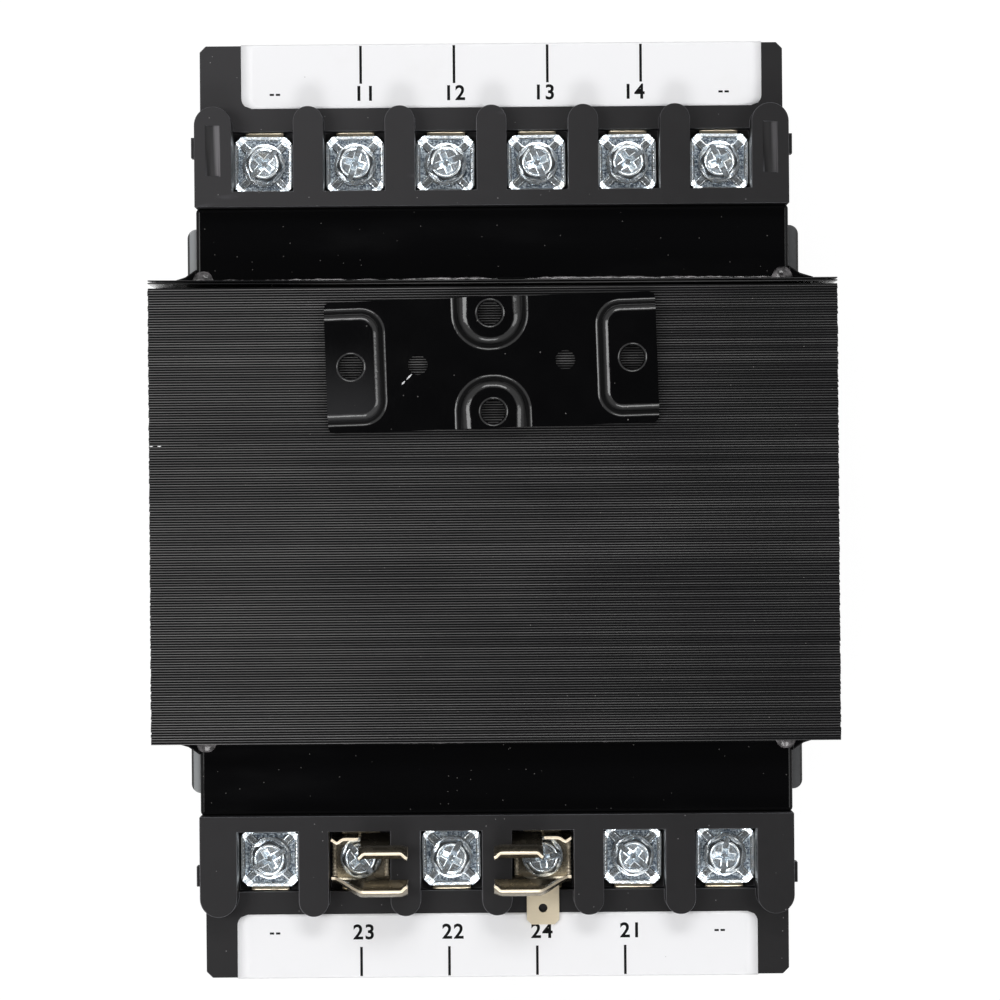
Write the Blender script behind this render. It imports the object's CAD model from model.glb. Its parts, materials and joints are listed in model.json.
import json
import math
import random

import bmesh
import bpy
from mathutils import Matrix, Vector


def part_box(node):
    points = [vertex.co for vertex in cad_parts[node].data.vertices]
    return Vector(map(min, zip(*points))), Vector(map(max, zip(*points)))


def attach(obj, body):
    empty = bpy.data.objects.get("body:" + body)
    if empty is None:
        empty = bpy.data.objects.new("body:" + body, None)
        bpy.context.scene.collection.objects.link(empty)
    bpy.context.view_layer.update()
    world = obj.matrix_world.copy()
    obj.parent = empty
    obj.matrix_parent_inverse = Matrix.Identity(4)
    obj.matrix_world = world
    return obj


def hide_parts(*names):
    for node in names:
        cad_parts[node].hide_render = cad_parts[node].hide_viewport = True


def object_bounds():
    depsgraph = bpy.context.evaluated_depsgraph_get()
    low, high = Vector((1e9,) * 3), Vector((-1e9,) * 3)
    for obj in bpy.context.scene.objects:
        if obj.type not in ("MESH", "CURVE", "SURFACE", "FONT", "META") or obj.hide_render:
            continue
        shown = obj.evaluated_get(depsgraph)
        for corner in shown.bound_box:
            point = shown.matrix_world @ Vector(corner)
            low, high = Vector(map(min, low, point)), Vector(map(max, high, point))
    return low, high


bl_info = {
    "name": "Control transformer",
    "version": (1, 0, 0),
    "blender": (4, 5, 0),
    "location": "3D View > Sidebar > Transformer",
    "description": "Finishes and fine shapes for a control transformer with terminal blocks",
    "category": "Object",
}

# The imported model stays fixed, and every place below is worked out from its nodes' boxes.
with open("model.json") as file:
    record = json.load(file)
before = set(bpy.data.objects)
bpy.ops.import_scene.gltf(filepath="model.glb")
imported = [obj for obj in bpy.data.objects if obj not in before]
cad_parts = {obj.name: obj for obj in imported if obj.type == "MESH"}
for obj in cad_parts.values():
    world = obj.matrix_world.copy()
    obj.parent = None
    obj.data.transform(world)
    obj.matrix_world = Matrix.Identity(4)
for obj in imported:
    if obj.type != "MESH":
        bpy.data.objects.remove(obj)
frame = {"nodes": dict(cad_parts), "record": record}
CAD_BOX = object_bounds()
MM = 0.001

TERMINALS = range(1, 7)
CLIP_TERMINALS = (2, 4)
MIDDLE_TERMINAL = 3.5  # Half way between the third terminal and the fourth


# ---- Colours and node trees ----

def srgb(red, green, blue):
    """A colour in linear light, from screen values of 0 to 255."""
    parts = [part / 255 for part in (red, green, blue)]
    return tuple(p / 12.92 if p <= 0.04045 else ((p + 0.055) / 1.055) ** 2.4 for p in parts)


class Value:
    """A node's socket. Python's operators on it add Math nodes to its tree."""

    def __init__(self, nodes, socket):
        self.nodes = nodes
        self.socket = socket

    def other(self, name):
        """Another output of the same node."""
        return Value(self.nodes, self.socket.node.outputs[name])

    def __add__(self, other):
        return self.nodes.math("ADD", self, other)

    def __sub__(self, other):
        return self.nodes.math("SUBTRACT", self, other)

    def __rsub__(self, other):
        return self.nodes.math("SUBTRACT", other, self)

    def __mul__(self, other):
        return self.nodes.math("MULTIPLY", self, other)

    def __truediv__(self, other):
        return self.nodes.math("DIVIDE", self, other)

    def __gt__(self, other):
        return self.nodes.math("GREATER_THAN", self, other)

    def __lt__(self, other):
        return self.nodes.math("LESS_THAN", self, other)

    __radd__ = __add__
    __rmul__ = __mul__


class Nodes:
    """A node tree, filled by Python expressions."""

    def __init__(self, tree):
        self.tree = tree
        self.tree.nodes.clear()

    def node(self, kind, settings=None, inputs=None, output=0):
        """Adds a node: its settings are set first, then its sockets' values or links."""
        made = self.tree.nodes.new(kind)
        for name, setting in (settings or {}).items():
            setattr(made, name, setting)
        for name, value in (inputs or {}).items():
            self.feed(made.inputs[name], value)
        return Value(self, made.outputs[output]) if made.outputs else None

    def feed(self, socket, value):
        """Links a Value to the socket, or sets a number, colour or other value on it."""
        if isinstance(value, Value):
            self.tree.links.new(value.socket, socket)
        elif socket.type == "RGBA":
            socket.default_value = (*value, 1.0)
        else:
            socket.default_value = value

    def math(self, operation, *numbers):
        """A Math node with this operation on the numbers."""
        return self.node("ShaderNodeMath", {"operation": operation}, dict(enumerate(numbers)))

    def mix(self, factor, first, second):
        """A colour that goes from first to second as the factor goes from 0 to 1."""
        sockets = {0: factor, 6: first, 7: second}
        return self.node("ShaderNodeMix", {"data_type": "RGBA"}, sockets, 2)

    def between(self, value, low, high):
        """0 below low, 1 above high, and a smooth step between them."""
        sockets = {"Value": value, "From Min": low, "From Max": high}
        return self.node("ShaderNodeMapRange", {"interpolation_type": "SMOOTHSTEP"}, sockets)


class Finish(Nodes):
    """A material with one Principled shader, whose patterns are sized in metres."""

    def __init__(self, name):
        self.material = bpy.data.materials.new(name)
        self.material.use_nodes = True
        super().__init__(self.material.node_tree)
        self.position = self.node("ShaderNodeNewGeometry", output="Position")

    def part(self, vector, axis):
        """One axis of a vector: 0, 1 or 2."""
        return self.node("ShaderNodeSeparateXYZ", inputs={0: vector}, output=axis)

    def normal(self, axis):
        """The part of the surface's normal along an axis."""
        return self.part(self.node("ShaderNodeNewGeometry", output="Normal"), axis)

    def stretched(self, stretch):
        """The position, drawn out along an axis where its part of stretch is below 1."""
        if stretch is None:
            return self.position
        sockets = {0: self.position, 1: stretch}
        return self.node("ShaderNodeVectorMath", {"operation": "MULTIPLY"}, sockets)

    def noise(self, size, detail=2.0, stretch=None):
        """Cloudy noise from 0 to 1 with lumps of about the size."""
        sockets = {"Vector": self.stretched(stretch), "Scale": 1 / size, "Detail": detail}
        return self.node("ShaderNodeTexNoise", inputs=sockets, output="Fac")

    def specks(self, spacing, size, share):
        """1 on round specks of the size, in a share of the cells of the spacing."""
        sockets = {"Vector": self.position, "Scale": 1 / spacing}
        cells = self.node("ShaderNodeTexVoronoi", inputs=sockets, output="Distance")
        chance = self.node("ShaderNodeSeparateColor", inputs={0: cells.other("Color")})
        return (cells < size / spacing) * (chance > 1 - share)

    def leftward(self):
        """0 at the part's right side, and 1 at its left side, where more dust has settled."""
        return 1 - self.between(self.part(self.position, 0), CAD_BOX[0].x, CAD_BOX[1].x)

    def bump(self, height, depth, under=None):
        """A normal from a height of 0 to 1 that stands for the depth in metres."""
        sockets = {"Height": height, "Distance": depth}
        if under is not None:
            sockets["Normal"] = under
        return self.node("ShaderNodeBump", inputs=sockets)

    def surface(self, sockets):
        """Links the Principled shader with these sockets, and returns the material."""
        shader = self.node("ShaderNodeBsdfPrincipled", inputs=sockets)
        self.node("ShaderNodeOutputMaterial", inputs={"Surface": shader})
        return self.material


# ---- Settings ----

def size(name, description, default, low=0.0, high=1.0):
    """A length in metres."""
    return bpy.props.FloatProperty(
        name=name, description=description, default=default, min=low, max=high,
        unit="LENGTH", subtype="DISTANCE", precision=5,
    )


def colour(name, description, default):
    """A colour in linear light."""
    return bpy.props.FloatVectorProperty(
        name=name, description=description, default=default, min=0, max=1,
        size=3, subtype="COLOR",
    )


def power(name, description, default):
    """A lamp's power, or the strength of another light."""
    return bpy.props.FloatProperty(name=name, description=description, default=default, min=0)


def angle(name, description, degrees):
    """An angle, given in degrees and kept in radians."""
    return bpy.props.FloatProperty(
        name=name, description=description, default=math.radians(degrees),
        unit="ROTATION", subtype="ANGLE",
    )


class CoreSettings(bpy.types.PropertyGroup):
    pitch: size("Pitch", "Thickness of one lamination with its varnish", 0.49 * MM)
    gap: size("Gap", "Dark groove between the edges of two laminations", 0.27 * MM)
    wander: size("Wander", "How far single laminations stand out or back", 0.05 * MM)
    groove: size("Groove", "Depth of the grooves between the laminations on top", 0.3 * MM)
    side_groove: size("Side groove", "Depth of the grooves at the sides", 0.12 * MM)
    split: size("Split", "Distance of the two parted laminations from the middle", 13 * MM)
    varnish: colour("Varnish", "Black varnish on the steel edges", srgb(30, 30, 31))
    varnish_pale: colour("Pale varnish", "Thin varnish on raised edges", srgb(126, 125, 125))
    weld: colour("Weld", "Varnished weld metal", srgb(34, 34, 36))
    foot: colour("Foot paint", "Enamel on the mounting feet", srgb(54, 55, 57))


class PlateSettings(bpy.types.PropertyGroup):
    turn: angle("Turn", "Turn of the fuse-block plate on the core", 1.6)
    sheet: size("Sheet", "Sheet thickness of the plate", 1.5 * MM)
    end_pad: size("End pad", "Reach of the end pads from the plate's ends", 11.7 * MM)
    end_pad_half: size("End pad half", "Half the width of the end pads", 11.45 * MM)
    side_pad: size("Side pad", "Reach of the side pads from the plate's long edges", 10.35 * MM)
    side_pad_half: size("Side pad half", "Half the width of the side pads", 7.5 * MM)
    foot_bend: size("Foot bend", "Radius where the pads rise from the plate", 0.9 * MM)
    crest_bend: size("Crest bend", "Radius where the pads' walls meet their tops", 1.8 * MM)
    flank_bend: size("Flank bend", "Crest radius on the side pads' straight flanks", 3.0 * MM)
    hole_bend: size("Hole bend", "Radius of the rolled edges of the pads' holes", 0.5 * MM)
    sight_pitch: size("Sight pitch", "Distance between the two sight holes", 28.5 * MM)
    sight_r: size("Sight radius", "Radius of the sight holes", 1.9 * MM)
    paint: colour("Paint", "Black enamel on the plate", srgb(4, 4, 5))


class CoilSettings(bpy.types.PropertyGroup):
    resin: colour("Resin", "Black potting resin", srgb(9, 9, 10))
    edge: size("Edge", "Radius of the resin's outer edges", 0.8 * MM)
    seam: size("Seam", "Width of the resin beads against the core", 0.55 * MM)


class HousingSettings(bpy.types.PropertyGroup):
    plastic: colour("Plastic", "Moulded terminal block", srgb(9, 8, 10))
    dusty: colour("Dusty plastic", "The same plastic under a film of dust", srgb(46, 45, 47))
    worn: colour("Worn edges", "The moulding's rubbed and dusty edges", srgb(118, 119, 124))
    edge: size("Edge", "Radius of the moulding's edges", 0.42 * MM)


class LabelSettings(bpy.types.PropertyGroup):
    film: colour("Film", "White label film", srgb(247, 247, 249))
    ink: colour("Ink", "Printed marks", srgb(10, 10, 11))
    mark_h: size("Mark height", "Height of the printed numbers", 2.9 * MM)
    line_w: size("Line width", "Width of the lines between the marks and the fold", 0.5 * MM)
    primary_marks: bpy.props.StringProperty(
        name="Primary marks", description="Marks at the primary terminals, left to right",
        default="-- 11 12 13 14 --",
    )
    secondary_marks: bpy.props.StringProperty(
        name="Secondary marks", description="Marks at the secondary terminals, left to right",
        default="-- 23 22 24 21 --",
    )


class TerminalSettings(bpy.types.PropertyGroup):
    zinc: colour("Zinc", "Bright zinc on the screws and clamp plates", srgb(243, 249, 252))
    brass: colour("Tinned brass", "Strips and tab", srgb(255, 240, 210))
    head_h: size("Head height", "Height of a screw above its seat", 3.5 * MM)
    flange_r: size("Flange radius", "Radius of the screws' washer flanges", 4.0 * MM)
    hex_af: size("Across flats", "Width of the hexagon heads", 6.35 * MM)
    rim_r: size("Rim radius", "Radius of the raised rim on the heads", 3.0 * MM)
    recess_w: size("Recess width", "Width of the slot and the cross recess", 1.1 * MM)
    panel_drop: size("Panel drop", "Depth of the clamp plates' sunk panels", 0.3 * MM)
    border: size("Border", "Width of the raised border round the panels", 0.8 * MM)
    ridge_w: size("Ridge width", "Width of the diagonal ridges between the panels", 1.6 * MM)
    corner: size("Corner", "Reach of the clamp plates' cut corners", 1.35 * MM)
    facet: angle("Facet", "Slope of the clamp plates' edges and corners", 14)


class ClipSettings(bpy.types.PropertyGroup):
    sheet: size("Sheet", "Sheet thickness of the clips", 0.55 * MM)
    base_half: size("Base half", "Half the width of the clips' bases", 5.55 * MM)
    base_out: size("Base length", "Half the distance between the arms' feet", 4.7 * MM)
    reach: size("Reach", "How far the cheeks reach from the screw", 9.4 * MM)
    fuse_off: size("Fuse offset", "Distance from the screw to the fuse's centre line", 1.5 * MM)
    face: colour("Face", "Tarnished faces of the spring metal", srgb(152, 144, 128))
    cut_edge: colour("Cut edge", "Pale cut edges of the sheet", srgb(255, 240, 214))


class StageSettings(bpy.types.PropertyGroup):
    stand_off: size("Stand-off", "Height of the camera above the core's top", 0.93, 0.1, 5.0)
    aside_x: size("Aside X", "Place of the camera across the part", 1.12 * MM)
    aside_y: size("Aside Y", "Place of the camera along the part", 1.93 * MM)
    roll: angle("Roll", "Turn of the camera about its line of sight", -0.45)
    lens: bpy.props.FloatProperty(
        name="Lens", description="Focal length on a 36 mm sensor", default=173.2,
        min=20, max=400, unit="CAMERA",
    )
    left: power("Left lamp", "Power in watts of the soft lamp on the left", 4.6)
    right: power("Right lamp", "Power in watts of the soft lamp on the right", 2.8)
    primary: power("Primary lamp", "Power in watts of the lamp at the primary end", 4.3)
    secondary: power("Secondary lamp", "Power in watts of the lamp at the secondary end", 3.6)
    room: power("Room light", "Strength of the light from the room's walls", 0.28)


SETTINGS = {
    "core": CoreSettings,
    "plate": PlateSettings,
    "coil": CoilSettings,
    "housing": HousingSettings,
    "label": LabelSettings,
    "terminal": TerminalSettings,
    "clip": ClipSettings,
    "stage": StageSettings,
}


def settings(group):
    """The scene's settings of one group."""
    return getattr(bpy.context.scene, f"transformer_{group}")


# ---- Finishes ----

def varnished_laminations():
    """Varnished edges of thin steel: each lamination has its own tone, with dust and rubs."""
    s = settings("core")
    f = Finish("varnished_laminations")
    low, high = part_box("core_i_stack")
    pitch = (high.y - low.y) / round((high.y - low.y) / s.pitch)
    place = (f.part(f.position, 1) - low.y) / pitch
    index = f.math("FLOOR", place)
    lane = f.math("FRACT", place)
    crest = f.between(lane, 0.0, 0.08) * (1 - f.between(lane, 0.28, 0.4))
    own = f.node("ShaderNodeTexWhiteNoise", {"noise_dimensions": "1D"}, {"W": index}, "Value")
    along = f.noise(9 * MM, 3, (0.35, 1, 1))
    patches = f.noise(45 * MM, 2)
    tone = own * 0.4 + along * 0.4 + patches * 0.25 + f.leftward() * 0.45
    base = f.mix(f.between(tone, 0.18, 1.4), tuple(s.varnish), tuple(s.varnish_pale))
    rubbed = f.between(f.noise(14 * MM, 5, (0.25, 1, 1)), 0.66, 0.78) * 0.35
    base = f.mix(rubbed, base, srgb(96, 94, 92))
    base = f.mix(f.specks(1.4 * MM, 0.08 * MM, 0.35), base, srgb(150, 148, 145))
    grain = f.noise(0.5 * MM, 3)
    return f.surface({
        "Base Color": f.mix(crest, srgb(26, 26, 27), base),
        "Roughness": 0.12 + crest * (0.24 + grain * 0.25 - rubbed * 0.2),
        "Normal": f.bump(grain, 0.03 * MM),
        "Specular IOR Level": 0.28,
    })


def weld_metal():
    """Varnish over a rippled weld, brown where the heat has burnt it."""
    s = settings("core")
    f = Finish("weld_metal")
    heat = f.between(f.noise(3 * MM, 3), 0.45, 0.75)
    lumps = f.noise(0.6 * MM, 3)
    return f.surface({
        "Base Color": f.mix(heat * 0.6, tuple(s.weld), srgb(66, 54, 46)),
        "Roughness": 0.32 + lumps * 0.3,
        "Metallic": heat * 0.4,
        "Normal": f.bump(lumps, 0.06 * MM),
    })


def foot_enamel():
    """Enamel on the pressed feet: dark at their long edges, with orange peel, dust and chips."""
    s = settings("core")
    f = Finish("foot_enamel")
    cloud = f.noise(12 * MM, 3)
    chips = f.specks(2.2 * MM, 0.15 * MM, 0.35)
    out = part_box("right_foot")[1].x - f.math("ABSOLUTE", f.part(f.position, 0))
    base = f.mix(f.leftward() * 0.85 + cloud * 0.15, tuple(s.foot), srgb(176, 179, 181))
    base = f.mix(f.between(out, 1.1 * MM, 2.3 * MM) * 0.7, base, tuple(s.foot))
    base = f.mix(f.between(out, 0.35 * MM, 0.6 * MM), srgb(10, 10, 11), base)
    return f.surface({
        "Base Color": f.mix(chips, base, srgb(120, 118, 114)),
        "Roughness": 0.3 + cloud * 0.2,
        "Normal": f.bump(f.noise(0.9 * MM, 2), 0.03 * MM),
    })


def plate_enamel():
    """Gloss black enamel with orange peel, dust and scuffs, dulled on the left end pad."""
    s = settings("plate")
    f = Finish("plate_enamel")
    dust = f.specks(2.4 * MM, 0.14 * MM, 0.3) * (1 - f.leftward() * 0.8)
    scuffs = f.between(f.noise(5 * MM, 6, (1, 0.2, 1)), 0.7, 0.74)
    base = f.mix(dust, tuple(s.paint), srgb(132, 130, 128))
    base = f.mix(scuffs * 0.5, base, srgb(46, 46, 48))
    low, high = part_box("fuse_block_plate")
    raised = f.between(f.part(f.position, 2), low.z + s.sheet, high.z)
    near = 1 - f.between(f.part(f.position, 1), low.y, (low.y + high.y) / 2 + 6 * MM)
    dulled = raised * near * f.between(f.leftward(), 0.64, 0.78)
    base = f.mix(dulled * 0.25, base, srgb(88, 88, 90))
    return f.surface({
        "Base Color": base,
        "Roughness": 0.1 + scuffs * 0.25 + f.noise(7 * MM, 3) * 0.06,
        "Normal": f.bump(f.noise(1.1 * MM, 2), 0.03 * MM),
    })


def bare_edge():
    """Bright steel where the varnish has come off two laminations' edges."""
    f = Finish("bare_edge")
    grain = f.noise(0.15 * MM, 2)
    return f.surface({
        "Base Color": f.mix(grain, srgb(236, 236, 238), srgb(252, 252, 253)),
        "Roughness": 0.35 + grain * 0.2,
        "Metallic": 0.1 + grain * 0.1,
        "Normal": f.bump(grain, 0.01 * MM),
    })


def bare_scratch():
    """Bright bare steel in a scratch through the enamel."""
    f = Finish("bare_scratch")
    grain = f.noise(0.12 * MM, 2)
    return f.surface({
        "Base Color": f.mix(grain, srgb(150, 150, 152), srgb(226, 226, 228)),
        "Roughness": 0.35 + grain * 0.3,
        "Metallic": 0.6,
        "Normal": f.bump(grain, 0.02 * MM),
    })


def potting_resin():
    """Black resin, glossy where it lies flat, with soft waves, smears, dust and small pits."""
    s = settings("coil")
    f = Finish("potting_resin")
    waves = f.noise(9 * MM, 2, (0.4, 1, 1))
    smears = f.between(f.noise(16 * MM, 4, (0.3, 1, 1)), 0.52, 0.72)
    dust = f.specks(1.5 * MM, 0.1 * MM, 0.4)
    upright = f.normal(2)
    base = f.mix(smears * 0.5, tuple(s.resin), srgb(16, 16, 17))
    return f.surface({
        "Base Color": f.mix(dust * 0.8, base, srgb(104, 102, 100)),
        "Specular IOR Level": 0.14,
        "Roughness": 0.55 + smears * 0.06 - f.between(upright, 0.9, 0.99) * 0.44,
        "Normal": f.bump(f.noise(1.6 * MM, 2), 0.012 * MM, f.bump(waves, 0.14 * MM)),
    })


def wet_resin():
    """The same resin where it has run out thin: smooth and glossy."""
    s = settings("coil")
    f = Finish("wet_resin")
    cloud = f.noise(1.4 * MM, 2)
    return f.surface({
        "Base Color": f.mix(f.between(cloud, 0.3, 0.7), tuple(s.resin), srgb(124, 120, 122)),
        "Roughness": 0.1 + cloud * 0.1,
        "Normal": f.bump(f.noise(1.3 * MM, 1), 0.2 * MM),
    })


def moulded_plastic():
    """Satin moulded plastic: fine spark texture, flow clouds, scuffs, and dust in its hollows."""
    s = settings("housing")
    f = Finish("moulded_plastic")
    cloud = f.noise(20 * MM, 3)
    dust = f.specks(1.6 * MM, 0.1 * MM, 0.34)
    scuffs = f.between(f.noise(6 * MM, 6, (0.3, 1, 1)), 0.68, 0.76)
    film = f.leftward() * (0.5 + f.part(f.position, 1) / CAD_BOX[1].y * 0.3)
    base = f.mix(film + cloud * 0.2, tuple(s.plastic), tuple(s.dusty))
    base = f.mix(scuffs * 0.3, base, srgb(84, 83, 88))
    across, upright = f.normal(0), f.normal(2)
    gentle = f.between(upright, 0.8, 0.91)
    base = f.mix(gentle * f.between(across, 0.0, 0.42) * 0.8, base, tuple(s.plastic))
    settled = gentle * f.between(0 - across, 0.0, 0.42) * (0.3 + f.leftward() * 0.6)
    base = f.mix(settled, base, srgb(118, 116, 119))
    worn = f.between(upright, 0.2, 0.35) * (1 - f.between(upright, 0.74, 0.86))
    base = f.mix(worn * f.between(cloud, 0.2, 0.6), base, tuple(s.worn))
    return f.surface({
        "Base Color": f.mix(dust * 0.8, base, srgb(140, 138, 140)),
        "Roughness": 0.38 + f.noise(2 * MM, 3) * 0.1 - scuffs * 0.06,
        "Specular IOR Level": 0.22,
        "Normal": f.bump(f.noise(0.28 * MM, 3), 0.02 * MM),
    })


def label_film():
    """White vinyl with a faint wave and a little dirt."""
    s = settings("label")
    f = Finish("label_film")
    dirt = f.between(f.noise(10 * MM, 4), 0.55, 0.85) * 0.12
    dots = f.specks(3 * MM, 0.12 * MM, 0.15) * 0.5
    base = f.mix(dirt, tuple(s.film), srgb(214, 212, 208))
    return f.surface({
        "Base Color": f.mix(dots, base, srgb(150, 148, 146)),
        "Roughness": 0.38 + dirt * 0.8,
        "Normal": f.bump(f.noise(6 * MM, 2), 0.05 * MM),
    })


def label_ink():
    """Printed ink, slightly uneven."""
    s = settings("label")
    f = Finish("label_ink")
    spread = f.noise(0.25 * MM, 3)
    return f.surface({
        "Base Color": f.mix(f.between(spread, 0.6, 0.8), tuple(s.ink), srgb(36, 36, 38)),
        "Roughness": 0.6 + spread * 0.15,
        "Specular IOR Level": 0.1,
        "Normal": f.bump(spread, 0.005 * MM),
    })


def bright_zinc():
    """Zinc plating: bright facets with soft dents, stains and blue-grey clouds."""
    s = settings("terminal")
    f = Finish("bright_zinc")
    dents = f.noise(0.55 * MM, 3)
    cloud = f.between(f.noise(0.7 * MM, 4), 0.42, 0.62)
    stain = f.between(f.noise(3.2 * MM, 3), 0.6, 0.8) * 0.35
    base = f.mix(cloud * 0.55, tuple(s.zinc), srgb(132, 150, 168))
    return f.surface({
        "Base Color": f.mix(stain, base, srgb(236, 224, 194)),
        "Roughness": 0.14 + cloud * 0.1,
        "Metallic": 0.88 - stain * 0.3,
        "Normal": f.bump(dents, 0.022 * MM),
    })


def panel_zinc():
    """The rough blue-grey plating in the clamp plates' sunk panels."""
    f = Finish("panel_zinc")
    flake = f.between(f.noise(0.3 * MM, 4), 0.42, 0.58)
    base = f.mix(flake, srgb(92, 106, 124), srgb(216, 226, 234))
    return f.surface({
        "Base Color": base,
        "Roughness": 0.3 + flake * 0.15,
        "Metallic": 0.3 + flake * 0.25,
        "Normal": f.bump(flake, 0.07 * MM),
    })


def brass(name, tone, metal, gloss):
    """Drawn strip: warm pale metal with lines along the roll and dull spots."""
    f = Finish(name)
    drawn = f.noise(0.4 * MM, 4, (0.12, 1, 1))
    dull = f.between(f.noise(2.6 * MM, 3), 0.5, 0.8)
    dark = tuple(part * 0.8 for part in tone)
    base = f.mix(drawn * 0.4, tuple(tone), dark)
    return f.surface({
        "Base Color": f.mix(dull * 0.4, base, tuple(part * 0.62 for part in tone)),
        "Roughness": gloss + dull * 0.15 + drawn * 0.08,
        "Metallic": metal - dull * 0.1,
        "Normal": f.bump(drawn, 0.012 * MM),
    })


def tab_brass():
    """Dull tinned brass on the quick-connect tab."""
    tone = tuple(0.82 * part for part in settings("terminal").brass)
    return brass("tab_brass", tone, 0.25, 0.25)


def strip_brass():
    """Bright tinned brass on the terminal strips."""
    return brass("strip_brass", settings("terminal").brass, 0.6, 0.15)


def spring_brass():
    """Polished and tarnished faces of the fuse clips."""
    return brass("spring_brass", settings("clip").face, 0.92, 0.22)


def cut_brass():
    """Fresh cut edges of the fuse clips."""
    return brass("cut_brass", settings("clip").cut_edge, 0.35, 0.3)


FINISHES = {
    "laminations": varnished_laminations,
    "weld": weld_metal,
    "foot": foot_enamel,
    "plate": plate_enamel,
    "scratch": bare_scratch,
    "bare": bare_edge,
    "resin": potting_resin,
    "run": wet_resin,
    "plastic": moulded_plastic,
    "film": label_film,
    "ink": label_ink,
    "zinc": bright_zinc,
    "panel": panel_zinc,
    "tab": tab_brass,
    "strip": strip_brass,
    "spring": spring_brass,
    "cut": cut_brass,
}
made_finishes = {}


def finish(name):
    """The material of that name, made when it is first asked for."""
    if name not in made_finishes:
        made_finishes[name] = FINISHES[name]()
    return made_finishes[name]


# ---- Meshes and pieces ----

class Shape:
    """The points and faces of one piece's mesh, gathered from its parts."""

    def __init__(self):
        self.points = []
        self.faces = []

    def add(self, points, faces):
        """Adds points, and faces that count these points from 0."""
        start = len(self.points)
        self.points.extend(points)
        self.faces.extend(tuple(start + i for i in face) for face in faces)

    def skin(self, rings, closed=True, capped=True):
        """A skin over rings that have the same number of points."""
        count = len(rings[0])
        last = (len(rings) - 1) * count
        faces = []
        for ring in range(0, last, count):
            above = ring + count
            for side in range(count if closed else count - 1):
                after = (side + 1) % count
                faces.append((ring + side, ring + after, above + after, above + side))
        if capped:
            faces.append(tuple(range(count))[::-1])
            faces.append(tuple(range(last, last + count)))
        self.add([point for ring in rings for point in ring], faces)

    def mesh(self, name, crease=35):
        """The Blender mesh. Edges that turn by more than crease degrees stay sharp."""
        made = bpy.data.meshes.new(name)
        made.from_pydata(self.points, [], self.faces)
        work = bmesh.new()
        work.from_mesh(made)
        bmesh.ops.remove_doubles(work, verts=work.verts, dist=0.0001 * MM)
        bmesh.ops.recalc_face_normals(work, faces=work.faces)
        work.to_mesh(made)
        work.free()
        return smoothed(made, crease)


def smoothed(mesh, crease=35):
    """The mesh, shaded smooth between its sharp edges."""
    mesh.shade_smooth()
    mesh.set_sharp_from_angle(angle=math.radians(crease))
    return mesh


def slab(shape, columns, rows, top, bottom=None):
    """A closed slab between two height fields, which take u and v from 0 to 1.

    Without a bottom, one flat face closes it at height 0.
    """
    def grid(place):
        return [place(c / columns, r / rows) for r in range(rows + 1) for c in range(columns + 1)]

    across = columns + 1
    cells = [r * across + c for r in range(rows) for c in range(columns)]
    count = across * (rows + 1)
    faces = [(i, i + 1, i + across + 1, i + across) for i in cells]
    rim = list(range(across))
    rim += [r * across + columns for r in range(1, rows + 1)]
    rim += [rows * across + c for c in range(columns - 1, -1, -1)]
    rim += [r * across for r in range(rows - 1, 0, -1)]
    points = grid(top)
    if bottom is None:
        low = [count + i for i in range(len(rim))]
        points += [Vector((points[i].x, points[i].y, 0.0)) for i in rim]
        faces.append(tuple(reversed(low)))
    else:
        low = [count + i for i in rim]
        points += grid(bottom)
        faces += [tuple(count + i for i in reversed(face)) for face in faces]
    edges = list(zip(rim, low))
    for (here, under), (after, next_under) in zip(edges, edges[1:] + edges[:1]):
        faces.append((after, here, under, next_under))
    shape.add(points, faces)


def cut(mesh, cutter):
    """The mesh with the cutter's shape taken out of it, and without faces of no area."""
    target = bpy.data.objects.new("cut_target", mesh)
    tool = bpy.data.objects.new("cut_tool", cutter)
    for obj in (target, tool):
        bpy.context.scene.collection.objects.link(obj)
    boolean = target.modifiers.new("cut", "BOOLEAN")
    boolean.solver = "EXACT"
    boolean.use_self = True
    boolean.object = tool
    seen = target.evaluated_get(bpy.context.evaluated_depsgraph_get())
    made = bpy.data.meshes.new_from_object(seen)
    for obj in (target, tool):
        bpy.data.objects.remove(obj)
    work = bmesh.new()
    work.from_mesh(made)
    bmesh.ops.dissolve_degenerate(work, dist=0.0005 * MM, edges=work.edges)
    work.to_mesh(made)
    work.free()
    return smoothed(made)


def disc(centre, radius, height):
    """A ring of points round a centre, at a height."""
    count = 48
    turns = [math.tau * i / count for i in range(count)]
    return [
        Vector((centre[0] + radius * math.cos(a), centre[1] + radius * math.sin(a), height))
        for a in turns
    ]


def sliver(shape, start, end, half):
    """Adds a flat lens from start to end, let into the surface under it."""
    along = (end - start).normalized()
    side = Vector((along.y, -along.x, 0)) * half
    up, down = Vector((0, 0, 0.02 * MM)), Vector((0, 0, -0.1 * MM))
    shape.skin([
        [place + side * wide + down, place - side * wide + down,
         place - side * wide + up, place + side * wide + up]
        for place, wide in ((start, 0.3), ((start + end) / 2, 1.0), (end, 0.3))
    ])


def step(value):
    """A smooth step from 0 to 1 while value goes from 0 to 1."""
    value = min(max(value, 0.0), 1.0)
    return value * value * (3 - 2 * value)


def add_piece(name, mesh, material, replaced=(), place=None):
    """Adds a mesh as a piece of the part, in place of the CAD nodes that it replaces."""
    piece = bpy.data.objects.new(name, mesh)
    if not mesh.materials:
        mesh.materials.append(finish(material))
    bpy.context.scene.collection.objects.link(piece)
    if place is not None:
        piece.matrix_world = place
    if replaced:
        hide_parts(*replaced)
    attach(piece, "root")
    return piece


def add_shape(name, shape, material, replaced=(), place=None, crease=35):
    """Adds a shape as a piece of the part, with a mesh of the same name."""
    return add_piece(name, shape.mesh(name, crease), material, replaced, place)


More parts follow.
